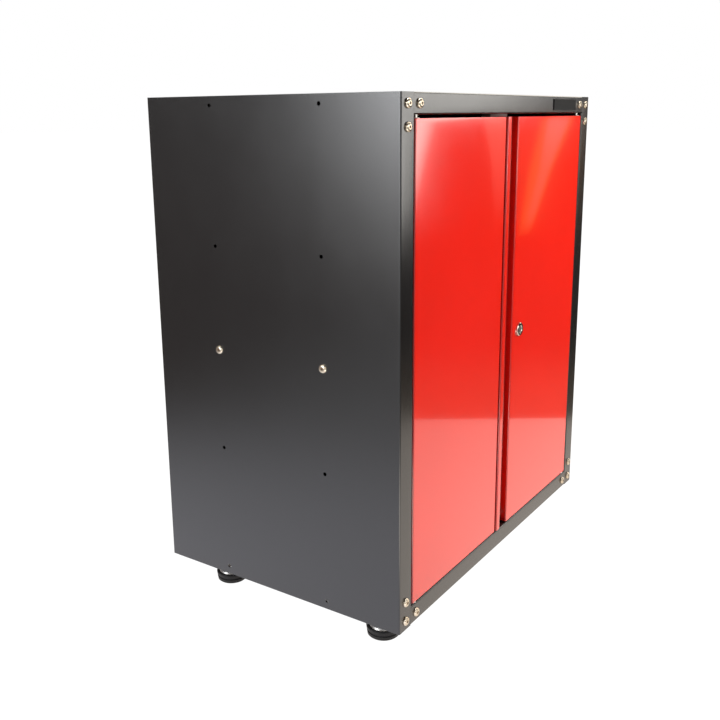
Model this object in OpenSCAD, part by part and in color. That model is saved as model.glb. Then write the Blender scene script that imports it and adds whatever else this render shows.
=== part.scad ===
// Two-door workshop cabinet of folded sheet steel on four levelling feet.
// Front faces -Y, +X is to the right as seen from the front, Z is 0 on the floor.
// Inside the modules x counts from the middle, y is the depth behind the frame's face.

/* [Body] */
// Width over the side panels
body_w = 680; // [560:5:900]
// Depth from the frame's face to the rear flanges
body_d = 460; // [380:5:600]
// Height of the body without its feet
body_h = 770; // [640:5:1000]
// Thickness of the body and door sheet
sheet = 1; // [0.8:0.1:1.3]
// Inside radius of every fold
bend_r = 1.2; // [0.8:0.1:2]
// Segments in a fold
bend_steps = 4; // [3:1:8]
// Open seam where two folded sheets meet
seam = 0.3; // [0.1:0.05:0.6]

/* [Front frame] */
// Width of the upright frame stiles
stile_w = 34; // [30:1:44]
// Depth of the fold on a stile's inner edge
stile_return = 14; // [8:1:16]
// Height of the top frame rail
top_rail = 29; // [28:1:40]
// Height of the bottom frame rail
bottom_rail = 30; // [28:1:40]
// Depth of the fold under the top rail
top_lip = 32; // [30:1:40]
// Depth of the fold under the bottom rail
bottom_lip = 14; // [13:1:24]
// Drop of the side and back flanges of the top and bottom panels
tray_drop = 24; // [20:1:26]
// Width of the flanges on the side panels' rear edges
rear_flange = 20; // [16:1:30]

/* [Frame bolts] */
// Pitch of the bolts along the rail and the stile
bolt_pitch = 30; // [26:1:40]
// Shank radius of the frame bolts
bolt_r = 3; // [2.5:0.1:3.2]
// Head radius of the frame bolts
bolt_head_r = 6.75; // [6:0.25:7.5]
// Head height of the frame bolts
bolt_head_h = 4; // [3.2:0.1:5]
// Width across the flats of their sockets
bolt_socket = 4; // [3:0.5:5]
// Thickness of the corner gussets
gusset_t = 2; // [1.5:0.1:3]
// Space from a gusset to the folds around it
gusset_margin = 1; // [0.5:0.1:1.5]
// Length of a gusset beyond its last bolt
gusset_end = 12; // [9:0.5:16]
// Width across the flats of the frame and shelf nuts
nut_af = 10; // [9:0.5:11]
// Thickness of the frame and shelf nuts
nut_t = 5; // [4:0.5:6]
// Bolt thread that shows past a nut
bolt_tail = 2; // [1:0.5:4]
// Radial room of a bolt in a sheet
hole_clear = 0.25; // [0.1:0.05:0.5]
// Radial room of a bolt in its nut
thread_clear = 0.05; // [0.02:0.01:0.1]

/* [Side holes] */
// Depth of the hole columns from the front and from the back
hole_inset = 130; // [110:5:160]
// Height of the outer holes from the body's edge
hole_edge = 13.5; // [10:0.5:15]
// Distance of the inner holes from the middle row
hole_step = 163; // [120:1:200]
// Radius of the open side holes
hole_r = 3; // [2.5:0.1:3.5]

/* [Shelf] */
// Front edge of the shelf behind the frame's face
shelf_front = 28; // [28:1:60]
// Gap between the shelf and the back panel
shelf_gap = 2; // [1:0.5:10]
// Drop of the shelf's flanges
shelf_drop = 25; // [22:1:30]
// Fold under the shelf's front flange
shelf_lip = 10; // [6:1:20]
// Height of the shelf's top over its bolts
shelf_rise = 12; // [10:1:14]
// Head radius of the shelf bolts
shelf_head_r = 6.75; // [6:0.25:8]
// Head height of the shelf bolts
shelf_head_h = 3.5; // [2.5:0.1:4.5]

/* [Back panel] */
// Shank radius of the back panel's screws
screw_r = 1.75; // [1.5:0.05:2]
// Head radius of the back panel's screws
screw_head_r = 4; // [3.5:0.1:5]
// Head height of the back panel's screws
screw_head_h = 2.2; // [1.5:0.1:3]
// Length of the back panel's screws
screw_l = 10; // [6:1:14]
// Pitch of the screws up the sides
screw_pitch = 216; // [150:2:220]
// Pitch of the screws along the top and bottom
screw_pitch_x = 180; // [120:5:220]
// Height of the lower screws over the body's bottom edge
screw_low = 17; // [12:0.5:20]
// Depth of the upper screws under the body's top edge
screw_high = 12; // [8:0.5:16]

/* [Doors] */
// Gap between a door and its stile
gap_side = 3; // [2.5:0.1:5]
// Gap over the doors
gap_top = 5; // [4:0.1:8]
// Gap under the doors
gap_bottom = 3; // [2:0.1:5]
// Gap between the two doors
gap_middle = 2.5; // [2:0.1:5]
// Thickness of a door over both skins
door_t = 14; // [13:0.5:16]
// Thickness of a door's inner panel
inner_t = 0.8; // [0.6:0.1:1]
// Fold behind a door's edges
door_return = 12; // [8:1:20]
// Margin of an inner panel inside the door's edge
inner_margin = 3; // [2:0.5:6]
// Width of the two ribs pressed into an inner panel
rib_w = 26; // [16:1:40]
// How far a rib stands out of its panel
rib_h = 4; // [2:0.5:5]
// Distance from a rib to the ends of its panel
rib_end = 70; // [40:5:120]

/* [Finger pull] */
// Left edge of the pull's mouth from the cabinet's middle
mouth_left = -6; // [-30:1:20]
// Width of the pull's mouth
mouth_w = 30; // [26:1:45]
// Width of the lip that the fingers hook behind
pull_lip = 13.3; // [11:0.1:18]
// How far the lip stands proud of the doors
pull_proud = 2.2; // [1:0.1:3.5]
// Turned-in edge of the lip
pull_hem = 4.5; // [3.5:0.1:6]
// Overlap of the inner panel behind the pull
pull_overlap = 4; // [2:0.5:8]

/* [Hinges] */
// Hinge pin from the door's outer edge
hinge_inset = 9.5; // [8:0.5:14]
// Hinge pin behind the frame's face
hinge_depth = 6; // [5.5:0.1:7]
// Radius of a hinge pin
pin_r = 2.5; // [2:0.1:2.7]
// Length of a hinge pin inside the door
pin_in = 9; // [6:0.5:12]
// Head radius of a hinge pin
pin_head_r = 3.6; // [3:0.1:3.7]
// Head height of a hinge pin
pin_head_h = 1.8; // [1:0.1:2]
// Wall of a door bush
bush_wall = 1.3; // [1:0.1:1.5]
// Depth of a door bush in the door
bush_in = 11; // [10:0.5:16]
// Flange radius of a door bush
bush_flange_r = 5.2; // [4.6:0.1:5.4]
// Flange thickness of the upper bushes
bush_flange = 1; // [0.6:0.1:2]
// Radial running room of a pin in its bush
pin_clear = 0.05; // [0.02:0.01:0.09]
// Room of a press fit
press_clear = 0.02; // [0.01:0.01:0.05]

/* [Catch] */
// Middle of the catch to the right of the line where the doors meet
catch_offset = 4; // [-6:1:6]
// Width of the catch
catch_w = 62; // [58:1:70]
// Depth of the catch
catch_d = 15; // [14:0.5:16]
// Height of the catch
catch_h = 20; // [19:0.5:26]
// Thickness of the ears that its screws hold
catch_ear = 6; // [5:0.5:8]
// Distance between the two magnets
magnet_pitch = 32; // [28:1:33]
// Width of a magnet
magnet_w = 13; // [10:0.5:14]
// Height of a magnet
magnet_h = 8; // [6:0.5:10]
// Depth of a magnet in the body
magnet_d = 9; // [6:0.5:10]
// How far a magnet stands out of the body
magnet_proud = 0.2; // [0.1:0.05:0.5]
// Air gap from a magnet to its plate
magnet_gap = 0.1; // [0.05:0.05:0.4]
// Distance between the catch's screws
catch_screw_pitch = 54; // [52:1:56]
// Radius of the catch's screws
catch_screw_r = 1.6; // [1.4:0.1:1.8]
// Thickness of the left door's catch plate
plate_t = 1.5; // [1:0.1:2]
// Margin of a catch plate around its magnet
plate_margin = 1.5; // [1:0.1:3]

/* [Lock] */
// Middle of the lock from the cabinet's middle
lock_x = 53; // [44:1:90]
// Height of the lock under the shelf's top
lock_drop = 17; // [15:0.5:20]
// Radius of the lock's front ring
lock_ring_r = 11.5; // [10.5:0.1:14]
// How far the ring stands proud of the door
lock_ring_h = 3; // [2:0.1:3.8]
// Radius of the lock's body
lock_body_r = 9; // [8:0.1:10]
// Length of the lock's body behind the door's face
lock_body_l = 19; // [18.5:0.1:19.5]
// Radius of the turning plug
plug_r = 6; // [5:0.1:7]
// Width of the key slot
key_slot_w = 1.8; // [1.2:0.1:2.5]
// Height of the key slot
key_slot_h = 7.5; // [6:0.1:8]
// Width across the flats of the lock's nut
lock_nut_af = 24; // [22:0.5:25]
// Thickness of the lock's nut
lock_nut_t = 4; // [3:0.25:4.25]
// Length of the cam from the plug's middle
cam_l = 30; // [26:1:34]
// Width of the cam
cam_w = 14; // [12:0.5:16]
// Thickness of the cam
cam_t = 2.2; // [1.5:0.1:2.5]
// Gap between the lock's body and the cam
cam_gap = 0.4; // [0.2:0.1:0.6]
// Side of the square that drives the cam
cam_square = 7; // [6:0.5:7.5]
// Head radius of the cam's screw
cam_head_r = 5.2; // [4.8:0.1:6]
// Head height of the cam's screw
cam_head_h = 2.4; // [1.5:0.1:3]
// Thickness of the strike
strike_t = 1.5; // [1:0.1:1.8]
// Gap from the strike's tongue to the cam
strike_gap = 1; // [0.6:0.1:1.4]
// Width of the strike
strike_w = 17; // [15:0.5:20]
// Overlap of the cam's tip and the strike
strike_bite = 10; // [6:0.5:12]

/* [Badge] */
// Middle of the bare badge plate from the body's right side
badge_side = 121; // [115:1:300]
// Width of the badge plate
badge_w = 102; // [60:1:110]
// Height of the badge plate
badge_h = 19; // [12:0.5:20]
// Thickness of the badge plate
badge_t = 1.5; // [0.8:0.1:2]

/* [Feet] */
// Height of the body's bottom edge over the floor
foot_h = 50; // [46:1:70]
// Foot from the body's side
foot_side = 61; // [45:1:80]
// Front feet from the frame's face
foot_front = 66; // [50:1:90]
// Rear feet from the body's back
foot_back = 80; // [50:1:90]
// Radius of a foot pad at its top
pad_r = 27.4; // [20:0.2:30]
// Taper of a pad's wall down to the floor
pad_taper = 2.2; // [0.5:0.1:4]
// Height of a foot pad
pad_h = 16.5; // [14:0.5:22]
// Rim of a pad around its disc
pad_rim = 4; // [4:0.5:8]
// Depth of the disc's seat in the pad
pad_seat = 2; // [1.5:0.1:3]
// Height of the disc's drawn flank
disc_h = 5; // [2:0.5:5]
// Depth of the groove round a pad
pad_groove = 1.6; // [0.8:0.1:2.5]
// Radius of a foot's threaded stem
stem_r = 5; // [4:0.5:6]
// Width across the flats of a foot's nuts
foot_nut_af = 17; // [15:0.5:19]
// Thickness of a welded foot nut
foot_nut_t = 8; // [6:0.5:9]
// Thickness of a jam nut
jam_t = 6; // [4:0.5:8]
// Travel of a foot
foot_travel = 15; // [8:0.5:16]
// Thickness of a foot bracket
bracket_t = 2.5; // [2:0.1:3]
// Length of a foot bracket
bracket_l = 100; // [92:1:112]
// Width of a foot bracket
bracket_w = 95; // [90:1:120]

/* [Hidden] */
$fn = 48;
// Heights of the body, the door opening and the doors
base_z = foot_h;
top_z = foot_h + body_h;
middle_z = foot_h + body_h / 2;
floor_z = base_z + bottom_rail;
head_z = top_z - top_rail;
door_z0 = floor_z + gap_bottom;
door_z1 = head_z - gap_top;
shelf_z = middle_z + shelf_rise;
lock_z = shelf_z - lock_drop;
// The front plane lies so that the whole depth is centred on y = 0
front_y = -(body_d + screw_head_h - bolt_head_h) / 2;
// Outside radius of a fold, inside width and back of the body
bend_out = bend_r + sheet;
half_in = body_w / 2 - sheet;
tray_back = body_d - 2 * sheet;
open_half = body_w / 2 - stile_w;
rail_half = open_half + bend_out - seam;
// Doors and finger pull
hinge_edge = open_half - gap_side;
hinge_x = hinge_edge - hinge_inset;
skin_d = door_t - inner_t;
lip_left = mouth_left - pull_lip;
mouth_right = mouth_left + mouth_w;
left_door_end = lip_left - gap_middle;
bush_r = pin_r + pin_clear + bush_wall;
// Catch: its magnets face the back of both plates
catch_x = lip_left - gap_middle / 2 + catch_offset;
plate_y = door_t + plate_t;
catch_y = plate_y + magnet_gap + magnet_proud;
magnet_z = door_z1 - inner_margin - plate_margin - magnet_h / 2;
catch_head_r = 2 * catch_screw_r;
// Lock: the cam turns behind the barrel
cam_y = lock_body_l + cam_gap;
cam_screw_r = cam_head_r / 2.6;
strike_x = lock_x - cam_l + strike_bite;
strike_y = cam_y - strike_gap - strike_t;
strike_top = lock_z + cam_w / 2 + strike_t + strike_gap + 4 * strike_t;
rivet_r = strike_t;
rivet_z = shelf_z - shelf_drop / 2;
rivet_columns = [for (s = [-1, 1]) strike_x - strike_w / 2 + s * strike_w / 4];
// Bolts, the holes punched for them and the back panel's screws
punch = 4 * sheet;
frame_bolt_l = sheet + gusset_t + nut_t + bolt_tail;
shelf_bolt_l = 2 * sheet + nut_t + bolt_tail;
side_screw_x = body_w / 2 - rear_flange / 2;
side_screw_rows = [for (k = [-1.5 : 1 : 1.5]) middle_z + k * screw_pitch];
end_screw_columns = [for (k = [-1 : 1 : 1]) k * screw_pitch_x];
badge_x = body_w / 2 - badge_side;
// Feet
disc_r = pad_r - pad_rim;
bracket_z = base_z + sheet;
stem_top = bracket_z + bracket_t + foot_nut_t + foot_travel;
foot_spots = [[-1, foot_front], [1, foot_front], [-1, body_d - foot_back], [1, body_d - foot_back]];
corners = [[-1, 1], [1, 1], [-1, -1], [1, -1]];
hole_columns = [hole_inset, body_d - hole_inset];
hole_rows = [base_z + hole_edge, middle_z - hole_step, middle_z + hole_step, top_z - hole_edge];

// Folded sheet: the outline of a strip that follows a path of straight runs, with the
// sheet on the path's right-hand side and a round bend at every corner.
function right_of(a, b) = let (d = (b - a) / norm(b - a)) [d[1], -d[0]];
function turned(v, a) = [v[0] * cos(a) - v[1] * sin(a), v[0] * sin(a) + v[1] * cos(a)];
function bend(p, q, r, off) =
    let (
        n1 = right_of(p, q),
        n2 = right_of(q, r),
        a = atan2(cross(n1, n2), n1 * n2),
        s = a > 0 ? 1 : -1,
        radius = a > 0 ? bend_r : bend_out,
        start = q - (q - p) / norm(q - p) * radius * tan(abs(a) / 2),
        middle = start - s * n1 * radius
    )
    [for (k = [0 : bend_steps]) middle + s * (radius + s * off) * turned(n1, a * k / bend_steps)];
function face(path, off) = let (last = len(path) - 1) [
    path[0] + right_of(path[0], path[1]) * off,
    for (i = [1 : 1 : last - 1]) each bend(path[i - 1], path[i], path[i + 1], off),
    path[last] + right_of(path[last - 1], path[last]) * off
];
function backwards(list) = [for (i = [len(list) - 1 : -1 : 0]) list[i]];
function fold(path, t = sheet) = concat(face(path, 0), backwards(face(path, t)));

// Places and directions
module placed() translate([0, front_y, 0]) children();
module box(low, high) translate(low) cube(high - low);
module along_y(x, y, z) translate([x, y, z]) rotate([-90, 0, 0]) children();
module from_side(s, y, z) translate([s * body_w / 2, y, z]) rotate([0, -s * 90, 0]) children();
module upright(z0, z1) translate([0, 0, z0]) linear_extrude(z1 - z0) children();
module across(x0, x1) translate([x0, 0, 0]) rotate([90, 0, 90]) linear_extrude(x1 - x0) children();
module deep(y0, y1) translate([0, y1, 0]) rotate([90, 0, 0]) linear_extrude(y1 - y0) children();

// Fasteners, all standing along +Z with the head below z = 0
module button_bolt(head_r, head_h, r, l, socket) {
    rim = head_h / 5;
    crown = head_r / 2;
    difference() {
        rotate_extrude()
            polygon([
                [0, -head_h],
                for (a = [0 : 15 : 90]) [crown + (head_r - crown) * sin(a), -rim - (head_h - rim) * cos(a)],
                [head_r, 0], [r, 0], [r, l], [0, l]
            ]);
        translate([0, 0, -head_h - 1]) cylinder(d = socket / cos(30), h = head_h / 2 + 1, $fn = 6);
    }
}
module hex_nut(af, t, bore) {
    corner_r = af / 2 / cos(30);
    chamfer = (corner_r - af / 2) * tan(30);
    difference() {
        intersection() {
            cylinder(r = corner_r, h = t, $fn = 6);
            rotate_extrude()
                polygon([
                    [0, 0], [af / 2, 0], [corner_r, chamfer], [corner_r, t - chamfer], [af / 2, t], [0, t]
                ]);
        }
        translate([0, 0, -t]) cylinder(r = bore, h = 3 * t);
    }
}
module hole(r, l) translate([0, 0, -l / 2]) cylinder(r = r, h = l);

// A sheet panel with its side and back edges folded down, and a front flange that is as long
// as the rail asked for and folds back underneath
module tray(rail, front, plate_front, back, top, drop, lip, flange) {
    half = half_in;
    across(-rail, rail)
        polygon(fold([
            [front + lip, top - drop], [front, top - drop], [front, top], [front + 2 * lip, top]
        ]));
    across(-half + bend_out, half - bend_out)
        polygon(fold([[plate_front, top], [back, top], [back, top - flange]]));
    deep(plate_front + bend_r, back - bend_out - seam)
        polygon(fold([[-half, top - flange], [-half, top], [half, top], [half, top - flange]]));
}

// Side panels: one sheet each makes the side, the front stile with its fold, and the rear flange
module side_panel(s) {
    flat = stile_w - bend_out;
    color("#2b2b2e") placed() difference() {
        translate([s * body_w / 2, 0, 0]) mirror([s > 0 ? 1 : 0, 0, 0])
            difference() {
                upright(base_z, top_z)
                    polygon(fold([
                        [stile_w, stile_return], [stile_w, 0], [0, 0], [0, body_d], [rear_flange, body_d]
                    ]));
                box([flat, -sheet, base_z - sheet], [2 * stile_w, 2 * stile_return, floor_z + seam]);
                box([flat, -sheet, head_z - seam], [2 * stile_w, 2 * stile_return, top_z + sheet]);
            }
        for (y = hole_columns, z = hole_rows) from_side(s, y, z) hole(hole_r, punch);
        for (y = hole_columns) from_side(s, y, middle_z) hole(bolt_r + hole_clear, punch);
        for (c = corners) if (c[0] == s) {
            along_y(bolt_x(c), 0, bolt_z(c)) hole(bolt_r + hole_clear, punch);
            along_y(bolt_x(c), 0, bolt_z(c) - c[1] * bolt_pitch) hole(bolt_r + hole_clear, punch);
        }
        for (z = side_screw_rows) along_y(s * side_screw_x, body_d, z) hole(screw_r + press_clear, punch);
    }
}

// Corner bolt of a frame corner: c is [side, 1 at the top and -1 at the bottom]
function bolt_x(c) = c[0] * (body_w / 2 - stile_w / 2);
function bolt_z(c) = c[1] > 0 ? top_z - top_rail / 2 : base_z + bottom_rail / 2;
function frame_bolt_spots() = [for (c = corners) each [
    [bolt_x(c), bolt_z(c)],
    [bolt_x(c) - c[0] * bolt_pitch, bolt_z(c)],
    [bolt_x(c), bolt_z(c) - c[1] * bolt_pitch]
]];

module top_panel() {
    color("#2b2b2e") placed() difference() {
        tray(rail_half, 0, sheet + seam, tray_back, top_z, top_rail, top_lip, tray_drop);
        for (c = corners) if (c[1] > 0)
            along_y(bolt_x(c) - c[0] * bolt_pitch, 0, bolt_z(c)) hole(bolt_r + hole_clear, punch);
        for (s = [-1, 1]) {
            translate([s * hinge_x, hinge_depth, head_z]) hole(pin_r + press_clear, punch);
            translate([catch_x + s * catch_screw_pitch / 2, catch_y + catch_d / 2, head_z])
                hole(catch_screw_r + press_clear, punch);
            for (y = hole_columns) from_side(s, y, top_z - hole_edge) hole(hole_r, 2 * punch);
        }
        for (x = end_screw_columns) along_y(x, tray_back, top_z - screw_high) hole(screw_r + press_clear, punch);
    }
}

module bottom_panel() {
    color("#2b2b2e") placed() difference() {
        tray(rail_half, 0, sheet + gusset_t + seam, tray_back, floor_z, bottom_rail, bottom_lip, tray_drop);
        for (c = corners) if (c[1] < 0)
            along_y(bolt_x(c) - c[0] * bolt_pitch, 0, bolt_z(c)) hole(bolt_r + hole_clear, punch);
        for (s = [-1, 1]) {
            translate([s * hinge_x, hinge_depth, floor_z]) hole(pin_r + press_clear, punch);
            for (y = hole_columns) from_side(s, y, base_z + hole_edge) hole(hole_r, 2 * punch);
        }
        for (x = end_screw_columns) along_y(x, tray_back, base_z + screw_low) hole(screw_r + press_clear, punch);
    }
}

// Back panel: a flat sheet behind the trays, held under the side panels' rear flanges
module back_panel() {
    half = half_in - bend_r - seam;
    color("#2b2b2e") placed() difference() {
        box([-half, tray_back, base_z], [half, body_d - sheet, top_z]);
        for (s = [-1, 1], z = side_screw_rows)
            along_y(s * side_screw_x, body_d - sheet, z) hole(screw_r + press_clear, punch);
        for (x = end_screw_columns, z = [base_z + screw_low, top_z - screw_high])
            along_y(x, body_d - sheet, z) hole(screw_r + press_clear, punch);
    }
}
module back_screw() rotate([180, 0, 0])
    button_bolt(screw_head_r, screw_head_h, screw_r, screw_l, screw_head_r / 2);
module back_panel_screws() {
    color("#b9b7b0") placed() {
        for (s = [-1, 1], z = side_screw_rows) along_y(s * side_screw_x, body_d, z) back_screw();
        for (x = end_screw_columns, z = [base_z + screw_low, top_z - screw_high])
            along_y(x, body_d - sheet, z) back_screw();
    }
}

// Shelf at half height, bolted through both side panels
module shelf() {
    color("#2b2b2e") placed() difference() {
        tray(half_in - bend_out, shelf_front, shelf_front + bend_out, tray_back - shelf_gap,
            shelf_z, shelf_drop, shelf_lip, shelf_drop);
        for (s = [-1, 1], y = hole_columns) from_side(s, y, middle_z) hole(bolt_r + hole_clear, 2 * punch);
        for (x = rivet_columns) along_y(x, shelf_front, rivet_z) hole(rivet_r + press_clear, punch);
    }
}
module shelf_bolts() {
    color("#d8d4c8") placed() for (s = [-1, 1], y = hole_columns) from_side(s, y, middle_z)
        button_bolt(shelf_head_r, shelf_head_h, bolt_r, shelf_bolt_l, bolt_socket);
}
module shelf_nuts() {
    color("#b9b7b0") placed() for (s = [-1, 1], y = hole_columns) from_side(s, y, middle_z)
        translate([0, 0, 2 * sheet]) hex_nut(nut_af, nut_t, bolt_r + thread_clear);
}

// Corner gussets: flat L plates that tie the stile to the rail behind each frame corner
module gusset(c) {
    rail = c[1] > 0 ? top_rail : bottom_rail;
    inner = bend_out + gusset_margin;
    reach = stile_w / 2 + bolt_pitch + gusset_end;
    drop = rail / 2 + bolt_pitch + gusset_end;
    color("#77756f") placed()
        translate([c[0] * body_w / 2, 0, c[1] > 0 ? top_z : base_z])
        mirror([c[0] > 0 ? 1 : 0, 0, 0]) mirror([0, 0, c[1] > 0 ? 1 : 0])
        difference() {
            union() {
                box([inner, sheet, inner], [stile_w - inner, sheet + gusset_t, drop]);
                box([inner, sheet, inner], [reach, sheet + gusset_t, rail - inner]);
            }
            for (p = [[stile_w / 2, rail / 2], [stile_w / 2 + bolt_pitch, rail / 2], [stile_w / 2, rail / 2 + bolt_pitch]])
                along_y(p[0], sheet, p[1]) hole(bolt_r + hole_clear, 4 * gusset_t);
        }
}
module frame_bolts() {
    color("#d8d4c8") placed() for (p = frame_bolt_spots()) along_y(p[0], 0, p[1])
        button_bolt(bolt_head_r, bolt_head_h, bolt_r, frame_bolt_l, bolt_socket);
}
module frame_nuts() {
    color("#b9b7b0") placed() for (p = frame_bolt_spots()) along_y(p[0], sheet + gusset_t, p[1])
        hex_nut(nut_af, nut_t, bolt_r + thread_clear);
}
module badge_plate() {
    color("#1c1c1e") placed()
        box([badge_x - badge_w / 2, -badge_t, head_z + (top_rail - badge_h) / 2],
            [badge_x + badge_w / 2, 0, head_z + (top_rail + badge_h) / 2]);
}

// Hinges: headed pins through the rail's fold and the floor reach into bushes in the doors
module hinge_pin(l) rotate_extrude()
    polygon([[0, -pin_head_h], [pin_head_r, -pin_head_h], [pin_head_r, 0], [pin_r, 0], [pin_r, l], [0, l]]);
module hinge_pins() {
    color("#d8d4c8") placed() for (s = [-1, 1]) {
        translate([s * hinge_x, hinge_depth, head_z + sheet]) rotate([180, 0, 0])
            hinge_pin(sheet + gap_top + pin_in);
        translate([s * hinge_x, hinge_depth, floor_z - sheet]) hinge_pin(sheet + gap_bottom + pin_in);
    }
}
module bush(flange) rotate_extrude() {
    bore = pin_r + pin_clear;
    polygon([
        [bore, -flange], [bush_flange_r, -flange], [bush_flange_r, 0],
        [bush_r, 0], [bush_r, bush_in], [bore, bush_in]
    ]);
}
module door_bushes(s) {
    color("#e8e6de") placed() {
        translate([s * hinge_x, hinge_depth, door_z1]) rotate([180, 0, 0]) bush(bush_flange);
        translate([s * hinge_x, hinge_depth, door_z0]) bush(gap_bottom - pin_clear);
    }
}

// Doors: a front skin with folded edges and a ribbed inner panel that closes it behind
module end_flanges(x0, x1) across(x0 + bend_out, x1 - bend_out)
    polygon(fold([
        [skin_d, door_z0 + door_return], [skin_d, door_z0], [0, door_z0],
        [0, door_z1], [skin_d, door_z1], [skin_d, door_z1 - door_return]
    ]));
module bush_holes(s) for (z = [door_z0, door_z1])
    translate([s * hinge_x, hinge_depth, z]) hole(bush_r + press_clear, punch);
module left_door_skin() {
    color("#e2160f") placed() difference() {
        union() {
            upright(door_z0, door_z1)
                polygon(fold([
                    [left_door_end - door_return, skin_d], [left_door_end, skin_d], [left_door_end, 0],
                    [-hinge_edge, 0], [-hinge_edge, skin_d], [-hinge_edge + door_return, skin_d]
                ]));
            end_flanges(-hinge_edge, left_door_end);
        }
        bush_holes(-1);
    }
}
// The right door's free edge folds back, across and forward again into a hooked finger pull
module right_door_skin() {
    hook = lip_left + sheet;
    color("#e2160f") placed() difference() {
        union() {
            upright(door_z0, door_z1)
                polygon(fold([
                    [hinge_edge - door_return, skin_d], [hinge_edge, skin_d], [hinge_edge, 0],
                    [mouth_right, 0], [mouth_right, skin_d - sheet], [hook, skin_d - sheet],
                    [hook, sheet - pull_proud], [mouth_left - sheet, sheet - pull_proud],
                    [mouth_left - sheet, pull_hem - pull_proud]
                ]));
            end_flanges(mouth_right, hinge_edge);
        }
        bush_holes(1);
        along_y(lock_x, 0, lock_z) hole(lock_body_r + hole_clear, punch);
    }
}
// Inner panel between x0 and x1 with two round-ended ribs pressed out of its flat
module rib(x, r, y0, y1) {
    low = door_z0 + inner_margin + rib_end;
    high = door_z1 - inner_margin - rib_end;
    deep(y0, y1) {
        translate([x, low]) circle(r);
        translate([x, high]) circle(r);
        translate([x - r, low]) square([2 * r, high - low]);
    }
}
module inner_panel(x0, x1) {
    ribs = [for (k = [1, 2]) x0 + k * (x1 - x0) / 3];
    difference() {
        union() {
            box([x0, skin_d, door_z0 + inner_margin], [x1, door_t, door_z1 - inner_margin]);
            for (x = ribs) rib(x, rib_w / 2, skin_d, door_t + rib_h);
        }
        for (x = ribs) rib(x, rib_w / 2 - inner_t, skin_d - rib_h, skin_d + rib_h);
    }
}
module left_door_inner_panel() {
    color("#d0140e") placed() inner_panel(-hinge_edge + inner_margin, left_door_end - inner_margin);
}
module right_door_inner_panel() {
    color("#d0140e") placed() difference() {
        inner_panel(mouth_right - pull_overlap, hinge_edge - inner_margin);
        along_y(lock_x, door_t, lock_z) hole(lock_body_r + hole_clear, 4 * inner_t);
    }
}

// Twin magnetic catch under the top rail's fold, with a steel plate on each door
function magnet_x(s) = catch_x + s * magnet_pitch / 2;
module catch_body() {
    ears = catch_w / 2;
    housing = catch_screw_pitch / 2 - catch_head_r - hole_clear;
    color("#8f918e") placed() difference() {
        union() {
            box([catch_x - ears, catch_y, head_z - catch_ear], [catch_x + ears, catch_y + catch_d, head_z]);
            box([catch_x - housing, catch_y, head_z - catch_h], [catch_x + housing, catch_y + catch_d, head_z]);
        }
        for (s = [-1, 1]) {
            translate([magnet_x(s), catch_y, magnet_z])
                cube([magnet_w, 2 * magnet_d, magnet_h] + press_clear * [2, 0, 2], center = true);
            translate([catch_x + s * catch_screw_pitch / 2, catch_y + catch_d / 2, head_z])
                hole(catch_screw_r + hole_clear, 4 * catch_ear);
        }
    }
}
module catch_magnets() {
    color("#b9b7b0") placed() for (s = [-1, 1])
        translate([magnet_x(s), catch_y + (magnet_d - magnet_proud) / 2, magnet_z])
            cube([magnet_w, magnet_d + magnet_proud, magnet_h], center = true);
}
module catch_screws() {
    color("#b9b7b0") placed() for (s = [-1, 1])
        translate([catch_x + s * catch_screw_pitch / 2, catch_y + catch_d / 2, head_z - catch_ear])
            button_bolt(catch_head_r, catch_screw_r, catch_screw_r, catch_ear + punch, catch_screw_r);
}
module catch_plate(s, y) {
    half = [magnet_w / 2 + plate_margin, magnet_h / 2 + plate_margin];
    box([magnet_x(s) - half[0], y, magnet_z - half[1]], [magnet_x(s) + half[0], plate_y, magnet_z + half[1]]);
}
module left_catch_plate() color("#c9c7c0") placed() catch_plate(-1, door_t);
module right_catch_plate() color("#c9c7c0") placed() catch_plate(1, skin_d);

// Cam lock in the right door; its cam turns up behind a strike on the shelf
module lock_barrel() {
    ring_edge = lock_ring_h / 3;
    color("#d9dadb") placed() along_y(lock_x, 0, lock_z) rotate_extrude()
        polygon([
            [plug_r + pin_clear, -lock_ring_h + ring_edge], [plug_r + ring_edge, -lock_ring_h],
            [lock_ring_r - ring_edge, -lock_ring_h], [lock_ring_r, -lock_ring_h + ring_edge], [lock_ring_r, 0],
            [lock_body_r, 0], [lock_body_r, lock_body_l], [plug_r + pin_clear, lock_body_l]
        ]);
}
module lock_nut() {
    color("#b9b7b0") placed() along_y(lock_x, door_t, lock_z)
        hex_nut(lock_nut_af, lock_nut_t, lock_body_r + thread_clear);
}
module lock_plug() {
    plug_front = lock_ring_h - lock_ring_h / 3;
    color("#c4c3bd") placed() along_y(lock_x, 0, lock_z) difference() {
        union() {
            translate([0, 0, -plug_front]) cylinder(r = plug_r, h = plug_front + lock_body_l);
            translate([0, 0, lock_body_l - sheet]) linear_extrude(cam_gap + cam_t + sheet - seam)
                square(cam_square, center = true);
        }
        translate([0, 0, -plug_front]) cube([key_slot_w, key_slot_h, lock_body_l], center = true);
        translate([0, 0, cam_y + cam_t - cam_head_h * 4]) cylinder(r = cam_screw_r + press_clear, h = cam_head_h * 5);
    }
}
module lock_cam() {
    color("#b9b7b0") placed() along_y(lock_x, cam_y, lock_z) linear_extrude(cam_t) difference() {
        union() {
            circle(d = cam_w);
            translate([-cam_w / 2, 0]) square([cam_w, cam_l - cam_w / 2]);
            translate([0, cam_l - cam_w / 2]) circle(d = cam_w);
        }
        square(cam_square + 2 * pin_clear, center = true);
    }
}
module lock_cam_screw() {
    color("#b9b7b0") placed() along_y(lock_x, cam_y + cam_t, lock_z) rotate([180, 0, 0])
        button_bolt(cam_head_r, cam_head_h, cam_screw_r, cam_head_h * 3, cam_screw_r);
}
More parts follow.
